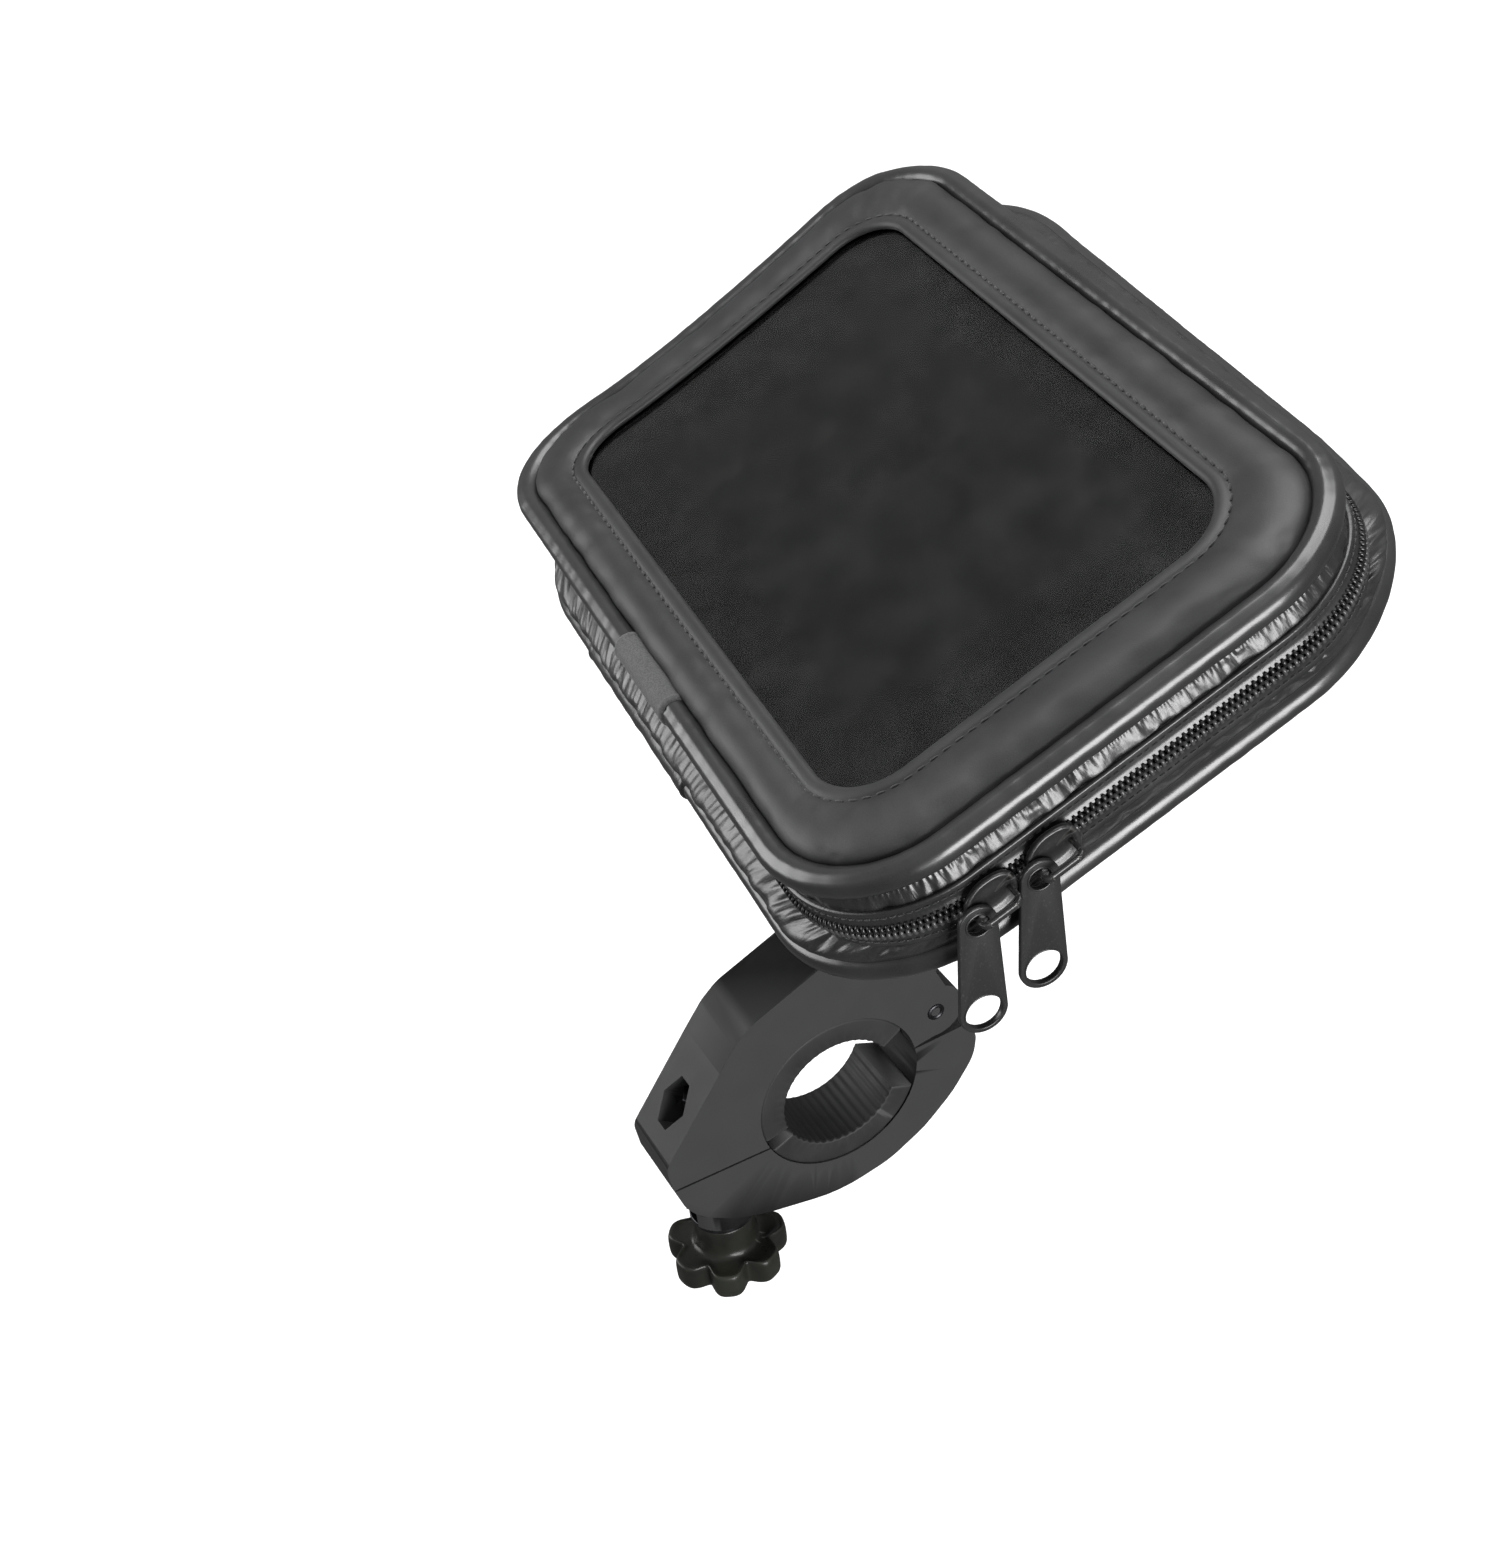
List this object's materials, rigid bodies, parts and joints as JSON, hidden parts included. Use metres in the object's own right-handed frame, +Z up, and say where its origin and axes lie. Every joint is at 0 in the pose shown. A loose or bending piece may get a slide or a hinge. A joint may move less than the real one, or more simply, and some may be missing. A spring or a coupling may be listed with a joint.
{
  "type": "phone mount",
  "caption": "Zipped soft phone case with a clear window on a tilting ball joint, held to a handlebar by a hinged clamp with a star knob.",
  "frame": {"origin": "centre of the handlebar's bore, on the bar's axis at the middle of the clamp's width", "axes": "+X along the handlebar to the rider's right, +Y forward, +Z up; the case is stored tilted towards the rider as it is used"},
  "size_m": [0.1853, 0.1383, 0.1978],
  "materials": {
    "clamp_plastic": "fine satin texture",
    "knob_plastic": "satin",
    "liner_rubber": "matte",
    "steel": "plain machined",
    "cup_plastic": "smooth",
    "case_leather": "matte coated leatherette with a fine grain",
    "gusset_leather": "glossy creased leatherette",
    "piping": "semi-gloss coated piping",
    "lining_fabric": "matte knit",
    "foam": "matte cloth-faced foam",
    "board": "plain sheet",
    "window_film": "clear film",
    "zip_tape": "woven tape",
    "zip_coil": "nylon coil",
    "zip_metal": "black enamel worn bright at the edges"
  },
  "bodies": {
    "clamp": {"upper_jaw": "clamp_plastic", "upper_liner": "liner_rubber", "clamp_nut": "steel", "hinge_pin": "steel", "ball_stud": "steel"},
    "lower_jaw": {"lower_jaw": "clamp_plastic", "lower_liner": "liner_rubber"},
    "knob_washer": {"thrust_washer": "steel"},
    "knob": {"star_knob": "knob_plastic", "knob_screw": "steel"},
    "ball_cup": {"friction_cup": "cup_plastic"},
    "socket": {"socket_body": "clamp_plastic", "pivot_washer": "steel", "pivot_screw": "steel"},
    "locking_ring": {"locking_ring": "knob_plastic"},
    "case_back": {"mount_plate": "clamp_plastic", "plate_screws": "steel", "back_panel": "case_leather", "stiffener_plate": "board", "hook_strips": "lining_fabric", "foam_pad": "foam", "gusset_back": "gusset_leather", "back_piping": "piping", "back_piping_sleeve": "case_leather", "zip_tape_back": "zip_tape", "zip_coil_back": "zip_coil", "spine_back": "gusset_leather"},
    "lid": {"lid_frame": "case_leather", "window_film": "window_film", "window_binding": "lining_fabric", "lid_lining": "lining_fabric", "gusset_lid": "gusset_leather", "front_piping": "piping", "front_piping_sleeve": "case_leather", "zip_tape_lid": "zip_tape", "zip_coil_lid": "zip_coil", "spine_lid": "gusset_leather"},
    "slider_1": {"zip_slider_1": "zip_metal"},
    "slider_2": {"zip_slider_2": "zip_metal"},
    "pull_1": {"zip_pull_1": "zip_metal"},
    "pull_2": {"zip_pull_2": "zip_metal"}
  },
  "joints": [
    {"name": "knob_travel", "type": "slide", "parent": "clamp", "child": "knob_washer", "axis": [0, 0, -1], "range_m": [0, 0.0081]},
    {"name": "knob_spin", "type": "hinge", "parent": "knob_washer", "child": "knob", "pos_m": [0, -0.027, -0.03], "axis": [0, 0, -1], "range_deg": [0, 3600]},
    {"name": "jaw_hinge", "type": "hinge", "parent": "clamp", "child": "lower_jaw", "pos_m": [0, 0.0239, 0.0103], "axis": [1, 0, 0], "range_deg": [0, 8.1]},
    {"name": "case_pitch", "type": "hinge", "parent": "clamp", "child": "ball_cup", "pos_m": [0, 0.0464, 0.0851], "axis": [0.9956, -0.0941, 0], "range_deg": [-44, 8]},
    {"name": "case_roll", "type": "hinge", "parent": "ball_cup", "child": "socket", "pos_m": [0, 0.0464, 0.0851], "axis": [0.0858, 0.9081, 0.4099], "range_deg": [-15, 15]},
    {"name": "ring_turn", "type": "hinge", "parent": "socket", "child": "locking_ring", "pos_m": [0, 0.0464, 0.0851], "axis": [0.0386, 0.4081, -0.9121], "range_deg": [0, 90]},
    {"name": "case_spin", "type": "hinge", "parent": "socket", "child": "case_back", "pos_m": [-0.00066, 0.03946, 0.10061], "axis": [-0.0386, -0.4081, 0.9121], "continuous": true},
    {"name": "lid_hinge", "type": "hinge", "parent": "case_back", "child": "lid", "pos_m": [-0.00638, -0.02109, 0.0986], "axis": [0.9956, -0.0941, 0], "range_deg": [0, 100]},
    {"name": "zip_turn_1", "type": "hinge", "parent": "case_back", "child": "slider_1", "pos_m": [0.05885, -0.00316, 0.10938], "axis": [-0.0386, -0.4081, 0.9121], "range_deg": [-20, 0]},
    {"name": "zip_slide_2", "type": "slide", "parent": "case_back", "child": "slider_2", "axis": [0.0858, 0.9081, 0.4099], "range_m": [0, 0.048]},
    {"name": "pull_swing_1", "type": "hinge", "parent": "slider_1", "child": "pull_1", "pos_m": [0.08678, -0.00894, 0.10886], "axis": [-0.0941, -0.9956, 0], "range_deg": [0, 36]},
    {"name": "pull_swing_2", "type": "hinge", "parent": "slider_2", "child": "pull_2", "pos_m": [0.08781, 0.00195, 0.11378], "axis": [-0.0941, -0.9956, 0], "range_deg": [0, 36]}
  ],
  "couplings": [
    {"joint": "knob_travel", "follows": "knob_spin", "m_per_rad": 0.00012732},
    {"joint": "jaw_hinge", "follows": "knob_spin", "ratio": 0.0022222}
  ]
}
